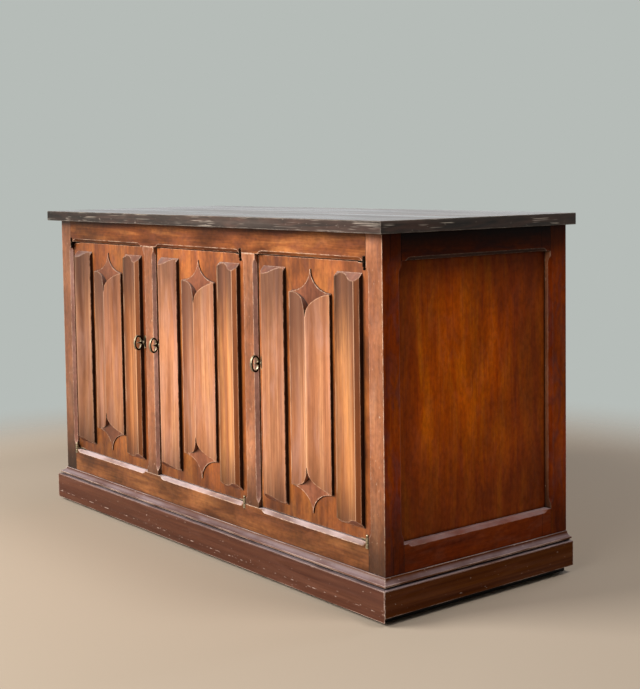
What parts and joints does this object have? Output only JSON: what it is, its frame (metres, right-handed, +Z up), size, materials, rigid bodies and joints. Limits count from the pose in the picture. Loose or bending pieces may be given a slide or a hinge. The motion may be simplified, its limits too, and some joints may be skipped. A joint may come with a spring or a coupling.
{
  "type": "credenza",
  "caption": "Low wooden credenza with inset linenfold doors that swing on pivots, key-shaped pulls that turn latch cams, shelved bays and a moulded plinth.",
  "frame": {"origin": "on the floor, under the middle of the top slab", "axes": "+X along the front to the right as seen by a person facing the doors, +Y from the doors to the back, +Z up"},
  "size_m": [1.419, 0.5716, 0.813],
  "materials": {
    "top_wood": "dark waxed, worn at the edges",
    "frame_wood": "satin, worn at the arrises",
    "panel_wood": "satin",
    "door_wood": "satin, dirt in the hollows",
    "plinth_wood": "worn satin with scuffs",
    "runner_wood": "dark stained, matte",
    "inner_wood": "bare, matte",
    "aged_brass": "aged, dull",
    "dark_brass": "darkened with age"
  },
  "bodies": {
    "case": {"top_slab": "top_wood", "front_post_left": "frame_wood", "front_post_right": "frame_wood", "back_post_left": "frame_wood", "back_post_right": "frame_wood", "mullion_left": "frame_wood", "mullion_right": "frame_wood", "front_top_rail": "frame_wood", "front_bottom_rail": "frame_wood", "side_top_rail_left": "frame_wood", "side_top_rail_right": "frame_wood", "side_bottom_rail_left": "frame_wood", "side_bottom_rail_right": "frame_wood", "side_panel_left": "panel_wood", "side_panel_right": "panel_wood", "back_panel": "inner_wood", "back_top_rail": "inner_wood", "bottom_board": "inner_wood", "partition_left": "inner_wood", "partition_right": "inner_wood", "shelf_left": "inner_wood", "shelf_middle": "inner_wood", "shelf_right": "inner_wood", "shelf_cleats": "inner_wood", "plinth_front": "plinth_wood", "plinth_left": "plinth_wood", "plinth_right": "plinth_wood", "base_cap_front": "frame_wood", "base_cap_left": "frame_wood", "base_cap_right": "frame_wood", "base_runner_left": "runner_wood", "base_runner_right": "runner_wood", "pivot_plates": "aged_brass"},
    "door_left": {"door_left_slab": "door_wood", "door_left_fold_left": "door_wood", "door_left_fold_centre": "door_wood", "door_left_fold_right": "door_wood", "door_left_stars": "door_wood", "door_left_escutcheon": "dark_brass", "door_left_pivot_leaves": "aged_brass"},
    "door_middle": {"door_middle_slab": "door_wood", "door_middle_fold_left": "door_wood", "door_middle_fold_centre": "door_wood", "door_middle_fold_right": "door_wood", "door_middle_stars": "door_wood", "door_middle_escutcheon": "dark_brass", "door_middle_pivot_leaves": "aged_brass"},
    "door_right": {"door_right_slab": "door_wood", "door_right_fold_left": "door_wood", "door_right_fold_centre": "door_wood", "door_right_fold_right": "door_wood", "door_right_stars": "door_wood", "door_right_escutcheon": "dark_brass", "door_right_pivot_leaves": "aged_brass"},
    "latch_left": {"key_left": "aged_brass", "latch_cam_left": "aged_brass"},
    "latch_middle": {"key_middle": "aged_brass", "latch_cam_middle": "aged_brass"},
    "latch_right": {"key_right": "aged_brass", "latch_cam_right": "aged_brass"}
  },
  "joints": [
    {"name": "door_left_swing", "type": "hinge", "parent": "case", "child": "door_left", "pos_m": [-0.624, -0.25625, 0.4405], "axis": [0, 0, -1], "range_deg": [0, 105]},
    {"name": "door_middle_swing", "type": "hinge", "parent": "case", "child": "door_middle", "pos_m": [0.18767, -0.25625, 0.4405], "axis": [0, 0, 1], "range_deg": [0, 105]},
    {"name": "door_right_swing", "type": "hinge", "parent": "case", "child": "door_right", "pos_m": [0.624, -0.25625, 0.4405], "axis": [0, 0, 1], "range_deg": [0, 105]},
    {"name": "key_left_turn", "type": "hinge", "parent": "door_left", "child": "latch_left", "pos_m": [-0.25567, -0.24725, 0.484], "axis": [0, 1, 0], "range_deg": [0, 90]},
    {"name": "key_middle_turn", "type": "hinge", "parent": "door_middle", "child": "latch_middle", "pos_m": [-0.18067, -0.24725, 0.484], "axis": [0, -1, 0], "range_deg": [0, 90]},
    {"name": "key_right_turn", "type": "hinge", "parent": "door_right", "child": "latch_right", "pos_m": [0.25567, -0.24725, 0.484], "axis": [0, -1, 0], "range_deg": [0, 90]}
  ]
}
